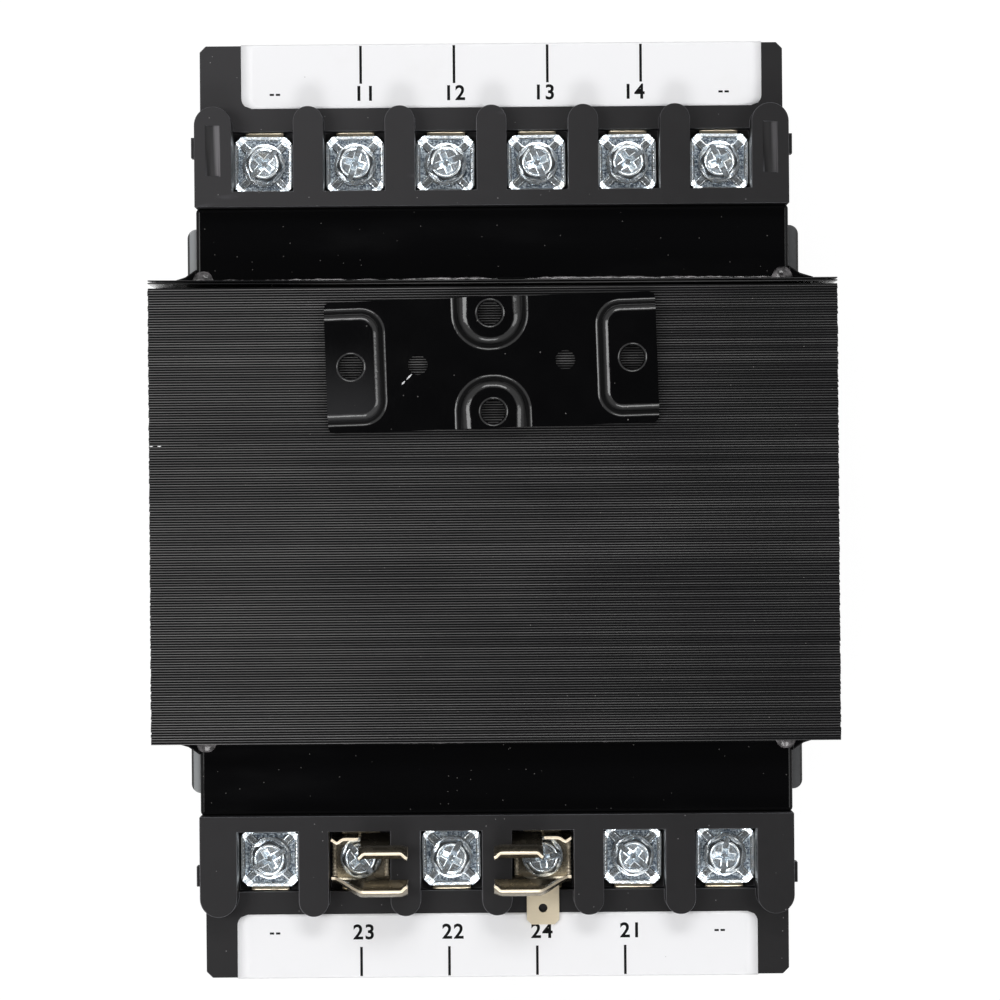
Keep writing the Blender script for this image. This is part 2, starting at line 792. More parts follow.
def modify(piece, kind, **values):
    """Adds a modifier of the kind with these settings."""
    modifier = piece.modifiers.new(kind.lower(), kind)
    for name, value in values.items():
        setattr(modifier, name, value)


def round_edges(piece, width, segments, degrees, **values):
    """Rounds the edges that turn by more than these degrees."""
    modify(piece, "BEVEL", width=width, segments=segments, limit_method="ANGLE",
           angle_limit=math.radians(degrees), **values)


def dress(node, material, edge, segments=3):
    """Gives a CAD node its finish, and rounds its edges without changing its mesh."""
    piece = frame["nodes"][node]
    for place in piece.material_slots:
        place.material = finish(material)
    if not piece.material_slots:
        raise RuntimeError(f"{node} has no material slot to dress")
    modify(piece, "WELD", merge_threshold=0.001 * MM)
    modify(piece, "DECIMATE", decimate_type="DISSOLVE", angle_limit=math.radians(0.5))
    round_edges(piece, edge, segments, 40, harden_normals=True, use_clamp_overlap=True)


# ---- Core ----

def lamination_bars(shape, low, high, s):
    """Flat bars side by side along Y, each a little wavy and out of line.

    The bar at the split is thinner towards its left end.
    """
    chance = random.Random(11)
    count = round((high.y - low.y) / s.pitch)
    pitch = (high.y - low.y) / count
    bevel = 0.07 * MM
    stations = 14
    for index in range(count):
        y = low.y + index * pitch
        x1 = low.x + chance.uniform(-2, 1) * s.wander
        x2 = high.x + chance.uniform(-1, 2) * s.wander
        top = high.z + chance.uniform(-1, 0.4) * s.wander
        phase = chance.uniform(0, math.tau)
        rings = []
        for station in range(stations + 1):
            t = station / stations
            x = x1 + t * (x2 - x1)
            wave = 0.5 * s.wander * math.sin(phase + 9 * t)
            far = y + pitch - s.gap
            if abs(y - s.split) < pitch / 2:
                far -= 0.22 * MM * (1 - step((x - low.x) / (20 * MM)))
            z = top + wave
            rings.append([
                (x, y, low.z), (x, y + pitch, low.z), (x, y + pitch, top - s.groove),
                (x, far, top - s.groove), (x, far, z - bevel), (x, far - bevel, z),
                (x, y + bevel, z), (x, y, z - bevel),
            ])
        shape.skin(rings)


def e_outline(low, high, inset):
    """The E lamination's corners in X and Z, moved inwards by the inset."""
    leg = (high.x - low.x) / 6
    floor = low.z + leg - inset
    xs = [low.x + inset, low.x + leg - inset, low.x + 2 * leg + inset]
    xs += [low.x + high.x - x for x in reversed(xs)]
    return [
        (xs[0], low.z + inset), (xs[5], low.z + inset), (xs[5], high.z), (xs[4], high.z),
        (xs[4], floor),
        (xs[3], floor), (xs[3], high.z), (xs[2], high.z), (xs[2], floor), (xs[1], floor),
        (xs[1], high.z), (xs[0], high.z),
    ]


def build_i_stack(s):
    """The bars across the top, with two bare slivers at the split."""
    low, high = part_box("core_i_stack")
    bars = Shape()
    lamination_bars(bars, low, high, s)
    add_shape("core_i_laminations", bars, "laminations", ["core_i_stack"])
    chips = Shape()
    for start, length in ((0.05 * MM, 0.75 * MM), (1.65 * MM, 0.7 * MM)):
        begin = Vector((low.x + start, s.split - 0.14 * MM, high.z - 0.03 * MM))
        sliver(chips, begin, begin + Vector((length, 0, 0)), 0.16 * MM)
    add_shape("core_bare_edges", chips, "bare")


def build_e_stack(s):
    """One skin over the E laminations, with a shallow groove after each."""
    low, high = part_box("core_e_stack")
    chance = random.Random(12)
    count = round((high.y - low.y) / s.pitch)
    pitch = (high.y - low.y) / count
    plate = e_outline(low, high, 0.0)
    groove = e_outline(low, high, s.side_groove)
    rings = []
    for index in range(count):
        y = low.y + index * pitch
        far = y + pitch - s.gap
        dx = chance.uniform(-1, 1) * s.wander
        turns = ((groove, 0, y), (plate, dx, y), (plate, dx, far), (groove, 0, far))
        for outline, shift, e in turns:
            rings.append([(x + shift, e, z) for x, z in outline])
    rings.append([(x, high.y, z) for x, z in groove])
    es = Shape()
    es.skin(rings)
    add_shape("core_e_laminations", es, "laminations", ["core_e_stack"])


def build_end_plates(s):
    """Two loose laminations on the primary face, whose yokes stand off at their left ends."""
    low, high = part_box("core_end_laminations")
    leg = (high.x - low.x) / 6
    ends = Shape()
    thick = (high.y - low.y) / 2 - s.gap
    stations = 12
    for index in range(2):
        y = low.y + index * (thick + s.gap)
        for bottom, top in ((low.z, low.z + leg), (high.z - leg, high.z)):
            rings = []
            for station in range(stations + 1):
                t = station / stations
                x = low.x + t * (high.x - low.x)
                splay = (0.25 * (1 - t) ** 5 - 0.1 * t) * MM
                rings.append([(x, e + splay, z) for e, z in (
                    (y, bottom), (y + thick, bottom), (y + thick, top), (y, top))])
            ends.skin(rings)
        for x in (low.x, -leg, high.x - leg):
            w = 2 * leg if x == -leg else leg
            ends.skin([[(x, e, z), (x + w, e, z)] + [(x + w, e + thick, z), (x, e + thick, z)]
                       for e, z in ((y, low.z + leg), (y, high.z - leg))])
    add_shape("core_end_plates", ends, "laminations", ["core_end_laminations"])


def build_core():
    s = settings("core")
    build_i_stack(s)
    build_e_stack(s)
    build_end_plates(s)


def build_welds():
    """A lens-shaped bead with ripples where the torch paused."""
    for side, node in ((-1, "left_weld_bead"), (1, "right_weld_bead")):
        low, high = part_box(node)
        middle = (low.z + high.z) / 2
        half = (high.z - low.z) / 2
        root = high.x if side < 0 else low.x
        out = high.x - low.x
        ripple_pitch = 0.35 * MM
        steps = round((high.y - low.y) / ripple_pitch)
        chance = random.Random(20 + side)
        lean = [chance.uniform(-1, 1) for _ in range(steps + 1)]
        bead = Shape()
        rings = []
        for i in range(steps + 1):
            t = i / steps
            taper = min(1, 4 * step(min(t, 1 - t) * 8))
            ripple = 0.82 + 0.18 * abs(math.sin(i * 0.62)) ** 0.7
            ring = []
            for j in range(13):
                a = math.pi * j / 12
                z = middle + half * taper * (0.94 + 0.05 * lean[i]) * math.cos(a)
                x = root + side * out * taper * ripple * math.sin(a)
                ring.append((x, low.y + t * (high.y - low.y), z))
            rings.append(ring)
        bead.skin(rings)
        add_shape(f"{node}_ripples", bead, "weld", [node], crease=60)


def build_feet():
    for node in ("left_foot", "right_foot"):
        dress(node, "foot", 0.9 * MM)


# ---- Fuse-block plate ----

def pad_gap(along, across, reach, half, radius):
    """Distance outside a pad's outline, which is open on its plate edge."""
    a = max(along - (reach - radius), 0.0)
    b = max(abs(across) - (half - radius), 0.0)
    if a > 0 and b > 0:
        return math.hypot(a, b) - radius
    return max(along - reach, abs(across) - half)


def build_scratch(s, place):
    """A bright scratch by the left sight hole, in two parts."""
    scratch = Shape()
    start = Vector((-s.sight_pitch / 2 - 1.2 * MM, -1.7 * MM, s.sheet))
    along = Vector((-0.72, -0.69, 0))
    for shift, length in ((0.0, 1.5 * MM), (1.9 * MM, 0.9 * MM)):
        sliver(scratch, start + along * shift, start + along * (shift + length), 0.16 * MM)
    add_shape("fuse_block_plate_scratch", scratch, "scratch", place=place)


def build_plate():
    """A pressed sheet with four pads, open at its ends and long edges."""
    s = settings("plate")
    low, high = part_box("fuse_block_plate")
    size_x, size_y = high.x - low.x, high.y - low.y
    turned = math.cos(s.turn) ** 2 - math.sin(s.turn) ** 2
    half_w = (size_x * math.cos(s.turn) - size_y * math.sin(s.turn)) / turned / 2
    half_l = (size_y * math.cos(s.turn) - size_x * math.sin(s.turn)) / turned / 2
    pad_h = high.z - low.z - s.sheet
    corner = 1.2 * MM
    end_radius, side_radius = 4.9 * MM, 7.2 * MM
    holes = {mount["name"]: mount["dims"] for mount in frame["record"]["mounts"]}
    end_holes = holes["fuse_block_end_holes"]
    side_holes = holes["fuse_block_side_holes"]
    hole_r = end_holes["hole_r_mm"] * MM
    pad_holes = [(side * end_holes["pcd_mm"] / 2 * MM, 0.0) for side in (-1, 1)]
    pad_holes += [(0.0, side * side_holes["pcd_mm"] / 2 * MM) for side in (-1, 1)]
    sights = [(side * s.sight_pitch / 2, 0.0) for side in (-1, 1)]

    def wall_height(inside, crest):
        """The pad's height at a distance inside its outline: two bends of a steep wall."""
        if inside <= 0:
            return 0.0
        bends = s.foot_bend + crest
        steep = math.acos(1 - pad_h / bends)
        width = bends * math.sin(steep)
        if inside >= width:
            return pad_h
        if inside < s.foot_bend * math.sin(steep):
            return s.foot_bend - math.sqrt(s.foot_bend ** 2 - inside ** 2)
        return pad_h - crest + math.sqrt(max(crest ** 2 - (width - inside) ** 2, 0.0))

    def lift(x, y):
        """How far the pads raise the sheet here."""
        end = pad_gap(half_w - abs(x), y, s.end_pad, s.end_pad_half, end_radius)
        along = half_l - abs(y)
        edge = pad_gap(along, x, s.side_pad, s.side_pad_half, side_radius)
        flank = 1 - step(along / s.side_pad)
        crest = s.crest_bend + (s.flank_bend - s.crest_bend) * flank
        return max(wall_height(-end, s.crest_bend), wall_height(-edge, crest))

    def roll(x, y):
        """How far the top is rolled down at a pad's hole."""
        away = min(math.hypot(x - hx, y - hy) for hx, hy in pad_holes) - hole_r
        short = min(max(s.hole_bend - away, 0.0), s.hole_bend)
        return s.hole_bend - math.sqrt(s.hole_bend ** 2 - short ** 2)

    def flat(u, v):
        y = (2 * v - 1) * half_l
        inset = max(corner - (half_l - abs(y)), 0.0)
        narrow = corner - math.sqrt(max(corner ** 2 - inset ** 2, 0.0))
        return (2 * u - 1) * (half_w - narrow), y

    def top(u, v):
        x, y = flat(u, v)
        return Vector((x, y, s.sheet + lift(x, y) - roll(x, y)))

    def bottom(u, v):
        x, y = flat(u, v)
        return Vector((x, y, lift(x, y)))

    plate = Shape()
    cell = 0.2 * MM
    slab(plate, round(2 * half_w / cell), round(2 * half_l / cell), top, bottom)
    mesh = plate.mesh("fuse_block_plate_pressed", 50)
    drills = Shape()
    for x, y in pad_holes:
        drills.skin([disc((x, y), hole_r, -MM), disc((x, y), hole_r, high.z - low.z + MM)])
    for x, y in sights:
        drills.skin([disc((x, y), s.sight_r, -MM), disc((x, y), s.sight_r, high.z - low.z + MM)])
    mesh = cut(mesh, drills.mesh("plate_drills"))
    middle = (low + high) / 2
    place = Matrix.Translation((middle.x, middle.y, low.z)) @ Matrix.Rotation(s.turn, 4, "Z")
    piece = add_piece("fuse_block_plate_pressed", mesh, "plate",
                      ["fuse_block_plate"], place)
    round_edges(piece, 0.12 * MM, 2, 55)
    build_scratch(s, place)


# ---- Coil ----

def build_coil():
    s = settings("coil")
    dress("coil_body", "resin", s.edge, 4)
    dress("corner_resin", "resin", 0.3 * MM)


def build_seams():
    """Beads of resin where the coil's top meets the core, thick at the corners."""
    s = settings("coil")
    lens_middle, lens_half = 2.1 * MM, 2.15 * MM
    lens_wide, lens_high = 1.9 * MM, 0.7 * MM
    least_wide, least_high = 0.04 * MM, 0.02 * MM
    coil_low, coil_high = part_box("coil_body")
    faces = (("primary", 1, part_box("core_end_laminations")[1].y),
             ("secondary", -1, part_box("core_e_stack")[0].y))
    for side, sign, face in faces:
        chance = random.Random(40 + sign)
        stations = 190
        beyond = 0.9 * MM
        start, end = coil_low.x - beyond, coil_high.x + beyond
        top = coil_high.z - 0.25 * MM
        inside = face - sign * 0.1 * MM
        quarter = [math.pi / 2 * i / 6 for i in range(7)]
        rings = []
        lump = 0.4
        for station in range(stations + 1):
            x = start + station / stations * (end - start)
            lump = min(max(lump + chance.uniform(-0.22, 0.22), 0.1), 1.0)
            near = min(x - start, end - x)
            lens = math.sqrt(max(1 - ((near - lens_middle) / lens_half) ** 2, 0.0))
            thin = s.seam * lump * step(near / (3 * MM))
            wide = thin + lens_wide * lens + least_wide
            high = thin * 0.7 + lens_high * lens + least_high
            arc = [(x, face + sign * wide * math.cos(a), top + high * math.sin(a))
                   for a in quarter]
            rings.append(arc + [
                (x, inside, top + high), (x, inside, top - MM), (x, face + sign * wide, top - MM),
            ])
        seam = Shape()
        seam.skin(rings)
        add_shape(f"{side}_resin_seam", seam, "run", crease=60)


# ---- Terminal blocks ----

def build_housings():
    s = settings("housing")
    for side in ("primary", "secondary"):
        dress(f"{side}_terminal_housing", "plastic", s.edge)
        dress(f"{side}_apron", "plastic", s.edge)


# ---- Labels ----

INK_RISE = 0.012 * MM  # Half the ink's thickness
CAPITAL = 0.72  # Height of a capital letter, as a share of the font's size


def text_points(shape, words, height, place):
    """Adds words as flat raised shapes, centred on the place."""
    curve = bpy.data.curves.new("label_words", "FONT")
    curve.body = words
    curve.size = height / CAPITAL
    curve.align_x = "CENTER"
    curve.align_y = "CENTER"
    curve.offset = 0.03 * height
    curve.space_character = 1.12
    curve.extrude = INK_RISE
    words_obj = bpy.data.objects.new("label_words", curve)
    bpy.context.scene.collection.objects.link(words_obj)
    seen = words_obj.evaluated_get(bpy.context.evaluated_depsgraph_get())
    flat = bpy.data.meshes.new_from_object(seen)
    bpy.data.objects.remove(words_obj)
    shape.add([place @ vertex.co for vertex in flat.vertices],
              [tuple(face.vertices) for face in flat.polygons])


def bar_points(shape, x1, x2, y1, y2, z):
    """Adds a thin printed bar."""
    corners = ((x1, y1), (x2, y1), (x2, y2), (x1, y2))
    shape.skin([[(x, y, e) for x, y in corners] for e in (z - INK_RISE, z + INK_RISE)])


def label_path(start, fold, bend, top, bottom):
    """The label's line in Y and Z: along the ledge, round the fold and down."""
    path = [(start + i * (fold - bend - start) / 24, top) for i in range(25)]
    for i in range(1, 9):
        a = math.pi / 2 * i / 8
        path.append((fold - bend + bend * math.sin(a), top - bend + bend * math.cos(a)))
    drop = top - bend - bottom
    return path + [(fold, top - bend - drop * i / 24) for i in range(1, 25)]


def build_label(side, sign, marks, mark_pitch, mark_shift, line_pitch, line_shift, line_start):
    """A sheet on the ledge that folds down over the apron, with its printed marks."""
    s = settings("label")
    node = f"{side}_label"
    low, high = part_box(node)
    thick = 0.15 * MM
    mark_in, mark_drop = 3.2 * MM, 0.5 * MM
    dash_off, dash_half, dash_rise = 0.6 * MM, 0.42 * MM, 0.2 * MM
    start = min(abs(low.y), abs(high.y))
    fold = max(abs(low.y), abs(high.y))
    radius = 2 * MM
    bend = 0.35 * MM
    top = high.z
    path = label_path(start, fold, bend, top, low.z)
    lengths = [0.0]
    for (y1, z1), (y2, z2) in zip(path, path[1:]):
        lengths.append(lengths[-1] + math.hypot(y2 - y1, z2 - z1))
    middle = (low.x + high.x) / 2
    half = (high.x - low.x) / 2
    rings = []
    for (y, z), run in zip(path, lengths):
        inset = max(radius - min(run, lengths[-1] - run), 0.0)
        narrow = radius - math.sqrt(max(radius ** 2 - inset ** 2, 0.0))
        across = []
        for i in range(41):
            x = (i / 20 - 1) * (half - narrow)
            across.append((middle + x, sign * y, z))
        rings.append(across)
    sheet = Shape()
    sheet.skin(rings, closed=False, capped=False)
    piece = add_shape(f"{side}_label_film", sheet, "film", [node], crease=60)
    modify(piece, "SOLIDIFY", thickness=thick, offset=-1.0)

    print_z = top + INK_RISE
    ink = Shape()
    mark_y = sign * (start + mark_in) - mark_drop
    for terminal, words in zip(TERMINALS, marks.split()):
        x = (terminal - MIDDLE_TERMINAL) * mark_pitch + mark_shift
        place = Matrix.Translation((x, mark_y, print_z))
        if words == "--":
            for dash in (-1, 1):
                centre = x + dash * dash_off
                bar_points(ink, centre - dash_half, centre + dash_half,
                           mark_y - dash_rise, mark_y + dash_rise, print_z)
            continue
        text_points(ink, words, s.mark_h, place)
        near = sign * (start + line_start)
        far = sign * (fold - bend)
        line_x = (terminal - MIDDLE_TERMINAL) * line_pitch + line_shift
        bar_points(ink, line_x - s.line_w / 2, line_x + s.line_w / 2,
                   min(near, far), max(near, far), print_z)
    add_shape(f"{side}_label_marks", ink, "ink")


def build_labels():
    s = settings("label")
    build_label("primary", 1, s.primary_marks, mark_pitch=17.53 * MM, mark_shift=1.6 * MM,
                line_pitch=18.23 * MM, line_shift=1.9 * MM, line_start=4.75 * MM)
    build_label("secondary", -1, s.secondary_marks, mark_pitch=17.37 * MM, mark_shift=-0.05 * MM,
                line_pitch=17.17 * MM, line_shift=-0.87 * MM, line_start=6.45 * MM)


# ---- Terminals ----

def rectangle(half_x, half_y):
    """A rectangle's corners round the middle."""
    return [(-half_x, -half_y), (half_x, -half_y), (half_x, half_y), (-half_x, half_y)]


def screw_mesh(s):
    """A washer-head hexagon screw with a raised rim, a slot and a cross recess."""
    count = 72
    half = s.hex_af / 2
    top = s.head_h
    thread_r = 2.05 * MM

    def hexagon(a):
        """The head's outline, whose corners are turned off just inside the flange's groove."""
        return min(half / math.cos((a % (math.pi / 3)) - math.pi / 6), s.flange_r - 0.42 * MM)

    def crown(a):
        """The head's height at its outline, lower at the corners."""
        return top - 0.12 * MM - max(hexagon(a) - half, 0.0) * 0.62

    def at(value, a):
        """A number of the profile, which may follow the angle round the screw."""
        return value(a) if callable(value) else value

    flange, rim = s.flange_r, s.rim_r
    profile = [
        (thread_r, -4 * MM), (thread_r, 0.0),
        (flange - 0.12 * MM, 0.0), (flange, 0.12 * MM), (flange, 0.42 * MM),
        (flange - 0.02 * MM, 0.45 * MM), (flange - 0.3 * MM, 0.505 * MM),
        (flange - 0.33 * MM, 0.42 * MM), (flange - 0.38 * MM, 0.42 * MM),
        (lambda a: hexagon(a) + 0.03 * MM, 0.5 * MM), (hexagon, 0.56 * MM),
        (hexagon, lambda a: crown(a) - 0.1 * MM), (lambda a: hexagon(a) - 0.06 * MM, crown),
        (rim + 0.1 * MM, top - 0.12 * MM), (rim + 0.04 * MM, top - 0.07 * MM),
        (rim - 0.18 * MM, top - 0.01 * MM), (rim - 0.26 * MM, top),
        (rim - 0.36 * MM, top - 0.01 * MM), (rim - 0.46 * MM, top - 0.04 * MM),
        (rim - 0.62 * MM, top - 0.22 * MM), (rim - 0.74 * MM, top - 0.36 * MM),
        (1.4 * MM, top - 0.4 * MM), (0.5 * MM, top - 0.4 * MM),
    ]
    rings = []
    for radius, height in profile:
        ring = []
        for i in range(count):
            a = math.tau * i / count
            r = at(radius, a)
            ring.append((r * math.cos(a), r * math.sin(a), at(height, a)))
        rings.append(ring)
    head = Shape()
    head.skin(rings)

    recess = Shape()
    w = s.recess_w / 2
    long = half + MM
    flare = 0.17 * MM
    slot = ((0.95, 0.0), (0.45, 0.0), (0.4, flare), (0.38, flare), (0.36, 0.0), (-1.0, 0.0))
    recess.skin([
        [(x, y, top - depth * MM) for x, y in rectangle(long, w + more)] for depth, more in slot
    ])
    wings = ((0.5 * w, 0.5, 2.0), (w, 1.85, 0.46), (w + flare, 2.1, 0.41), (w + flare, 2.1, -1.0))
    for turn in (0.0, math.pi / 2):
        recess.skin([
            [(x * math.cos(turn) - y * math.sin(turn), x * math.sin(turn) + y * math.cos(turn),
              top - depth * MM)
             for x, y in rectangle(reach * MM, wide)]
            for wide, reach, depth in wings
        ])
    return cut(head.mesh("screw", 30), recess.mesh("screw_recess"))


def clamp_mesh(s, half_w, half_l, thick):
    """A pressed square washer: a border and diagonal ridges round four sunk, rough panels.

    Its outer edge, at positive Y, and its corners are turned up.
    """
    seat_r = s.flange_r + 0.1 * MM
    wall = 0.14 * MM
    outer_turn, core_turn, side_bead = 0.55 * MM, 0.25 * MM, 0.16 * MM
    slope = math.tan(s.facet)
    ridge = s.ridge_w / 2
    corner_start = (half_w + half_l - s.corner) / math.sqrt(2) - 1.25 * MM

    def flat(u, v):
        x, y = (2 * u - 1) * half_w, (2 * v - 1) * half_l
        dx, dy = abs(x) - (half_w - s.corner), abs(y) - (half_l - s.corner)
        if dx > 0 and dy > 0:
            pull = max(dx, dy) / (dx + dy)
            x = math.copysign(half_w - s.corner + dx * pull, x)
            y = math.copysign(half_l - s.corner + dy * pull, y)
        return x, y

    def panel(x, y):
        """1 in the sunk panels, and 0 on the border, the ridges and the seat."""
        diagonal = abs(abs(x) - abs(y)) / math.sqrt(2)
        edge = min(half_w - abs(x), half_l - abs(y))
        inner = step((math.hypot(x, y) - seat_r) / wall)
        return inner * step((diagonal - ridge) / wall) * step((edge - s.border) / wall)

    def top(u, v):
        x, y = flat(u, v)
        diagonal = abs(abs(x) - abs(y)) / math.sqrt(2)
        along = (abs(x) + abs(y)) / math.sqrt(2)
        edge = min(half_w - abs(x), half_l - abs(y))
        sunk = panel(x, y)
        seat = step((math.hypot(x, y) - seat_r) / (0.4 * MM))
        # Fine grit, deepest in the panels and none under the screw
        grit = math.sin(x / (0.09 * MM) + 2 * math.sin(y / (0.31 * MM)))
        grit *= math.sin(y / (0.083 * MM) + 2 * math.sin(x / (0.27 * MM)))
        z = thick - sunk * s.panel_drop + 0.04 * MM * grit * seat * (0.3 + 0.7 * sunk)
        outer = y > 0
        if diagonal < ridge + wall:  # A ridge, with its corner
            z += max(along - corner_start - (0.0 if outer else 0.35 * MM), 0.0) * slope
            z -= max(diagonal - ridge + 0.3 * MM, 0.0) * slope * seat * (1 - sunk)
        elif half_l - abs(y) < half_w - abs(x):
            z += max((outer_turn if outer else core_turn) - edge, 0.0) * slope
        else:
            z += max(side_bead - abs(edge - 0.3 * MM), 0.0) * slope
        return Vector((x, y, max(z, 0.12 * MM)))

    plate = Shape()
    slab(plate, 84, 84, top)
    made = plate.mesh("clamp_plate", 60)
    for kind in ("zinc", "panel"):
        made.materials.append(finish(kind))
    for face in made.polygons:
        if face.normal.z > 0.2 and panel(face.center.x, face.center.y) > 0.6:
            face.material_index = 1
    return made


def strip_shape(node):
    """Flat bars under the clamp plates, whose outer ends are curled up a little."""
    low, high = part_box(node)
    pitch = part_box("primary_clamp_2")[0].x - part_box("primary_clamp_1")[0].x
    width = high.x - low.x - 5 * pitch
    sign = 1 if low.y > 0 else -1
    inner, outer = sorted((abs(low.y), abs(high.y)))
    run = high.x - low.x - width
    bars = Shape()
    for terminal in TERMINALS:
        middle = (low.x + high.x) / 2 + (terminal - MIDDLE_TERMINAL) * run / 5

        def top(u, v):
            y = inner + u * (outer - inner)
            x = middle + (v - 0.5) * width
            curl = 0.3 * MM * step((y - outer + 0.9 * MM) / (1.1 * MM))
            round_off = 0.1 * MM * step(1 - (0.5 - abs(v - 0.5)) * width / (0.3 * MM))
            return Vector((x, sign * y, high.z + curl - round_off))

        def bottom(u, v):
            place = top(u, v)
            return Vector((place.x, place.y, low.z))

        slab(bars, 60, 16, top, bottom)
    return bars


# How far each slot is turned from the line across the part, in degrees
SLOT_TURNS = {
    "primary": (48, 72, 20, 112, 35, 115),
    "secondary": (30, 128, 62, 8, 140, 84),
}


def build_terminals():
    s = settings("terminal")
    screw = screw_mesh(s)
    low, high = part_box("primary_clamp_1")
    clamp = clamp_mesh(s, (high.x - low.x) / 2, (high.y - low.y) / 2, high.z - low.z)
    chance = random.Random(31)
    for side in ("primary", "secondary"):
        for terminal, turn in zip(TERMINALS, SLOT_TURNS[side]):
            node = f"{side}_screw_{terminal}"
            low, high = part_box(node)
            middle = (low + high) / 2
            seat = Vector((middle.x, middle.y, high.z - s.head_h))
            place = Matrix.Translation(seat) @ Matrix.Rotation(math.radians(turn), 4, "Z")
            piece = add_piece(f"{node}_head", screw, "zinc", [node], place)
            round_edges(piece, 0.14 * MM, 3, 55)
            if side == "secondary" and terminal in CLIP_TERMINALS:
                continue
            node = f"{side}_clamp_{terminal}"
            low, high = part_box(node)
            middle = (low + high) / 2
            drift = chance.uniform(-0.25, 0.25) * MM
            lean = math.radians(chance.uniform(-0.8, 0.8))
            turn = lean + (0.0 if side == "primary" else math.pi)
            inward = 0.17 * MM * (-1 if side == "primary" else 1)
            place = Matrix.Translation((middle.x + drift, middle.y + inward, low.z))
            place = place @ Matrix.Rotation(turn, 4, "Z")
            add_piece(f"{node}_plate", clamp, "zinc", [node], place)
        node = f"{side}_terminal_strips"
        add_shape(f"{node}_bars", strip_shape(node), "strip", [node], crease=60)


# ---- Fuse clips ----

def clip_shape(s, seat, fuse_z, barrier_z):
    """A clip in its own frame: p along the fuse, q away from the core, z up."""
    base = seat - s.sheet
    foot = s.base_out
    low_p = -s.base_half
    neck_z = barrier_z + 1.2 * MM
    bulge = 4.75 * MM
    heel_r, heel_in = 0.7 * MM, 0.15 * MM
    neck_half = 2.3 * MM
    straight = base + 4.6 * MM
    top_z = fuse_z + 4.9 * MM
    ear_top = barrier_z - 1.5 * MM

    def heel(side):
        """The line's first points, where the base bends up."""
        q0 = side * foot
        return [(q0 - side * heel_r, base), (q0 - side * heel_in, base + heel_in),
                (q0, base + heel_r)]

    def cheek(side, p):
        """The arm's line from the base, round the fuse, to its lip."""
        q0 = side * foot
        mid = s.fuse_off
        narrow = mid + side * neck_half
        curl = 0.9 * MM * (step((p - s.reach + 1.3 * MM) / (1.3 * MM))
                           + (0 if side > 0 else step((1.2 * MM - p) / (1.2 * MM))))
        points = heel(side) + [
            (q0, straight), ((q0 + narrow) / 2, (straight + neck_z) / 2), (narrow, neck_z),
        ]
        for degrees in range(-48, 49, 12):
            a = math.radians(degrees)
            points.append((mid + side * bulge * math.cos(a), fuse_z + bulge * math.sin(a)))
        points.append((mid + side * 3.5 * MM, fuse_z + 4.0 * MM))
        points.append((mid + side * 3.65 * MM, top_z))
        share = [max(0.0, (z - neck_z) / (top_z - neck_z)) for q, z in points]
        return [(q - side * curl * part, z) for (q, z), part in zip(points, share)]

    def ear(side, p, lean):
        """The line of the short flap at the base's low end."""
        q0 = side * foot
        curl = 0.75 * MM * math.exp(-((p + 4.4 * MM) / (0.8 * MM)) ** 2) if side < 0 else 0.0
        points = heel(side)
        for i in range(1, 16):
            t = i / 15
            z = base + heel_r + t * (ear_top - base - heel_r)
            points.append((q0 - side * lean * step(t) + curl * t, z))
        return points

    def across(first, last, count):
        return [first + (last - first) * i / count for i in range(count + 1)]

    shape = Shape()
    inner_ps = across(0.1 * MM, s.reach, 24)
    shape.skin([[Vector((p, q, z)) for q, z in cheek(-1, p)] for p in inner_ps], False, False)
    ear_ps = across(low_p, -0.3 * MM, 14)
    shape.skin([[Vector((p, q, z)) for q, z in ear(-1, p, 0.5 * MM)] for p in ear_ps],
               False, False)

    # The outer side's ear goes over into its cheek
    outer = []
    for p in across(low_p, s.reach, 42):
        run = (p - low_p - 0.7 * MM) / (5.4 * MM)
        join = 0.6 * min(max(run, 0.0), 1.0) + 0.4 * step(run)
        outer.append([
            Vector((p, q1 * (1 - join) + q2 * join, z1 * (1 - join) + z2 * join))
            for (q1, z1), (q2, z2) in zip(ear(1, p, 1.3 * MM), cheek(1, p))
        ])
    shape.skin(outer, False, False)
    rows = [(q, base) for q in across(-foot + heel_r, foot - heel_r, 8)]
    shape.skin([[Vector((p, q, z)) for q, z in rows] for p in across(low_p, s.base_half, 12)],
               False, False)
    return shape


def clip_lips(s, seat):
    """Beaded lips along the base's two ends."""
    radius = 0.42 * MM
    ripple, wave = 0.07 * MM, 0.11 * MM
    lips = Shape()
    for end in (-1, 1):
        middle = end * (s.base_half - radius)
        rings = []
        for i in range(49):
            q = (i / 24 - 1) * 3.6 * MM
            bead = radius + ripple * math.sin(q / wave)
            rings.append([
                (middle + bead * math.cos(a), q, seat + bead * math.sin(a))
                for a in (math.tau * j / 12 for j in range(12))
            ])
        lips.skin(rings)
    return lips


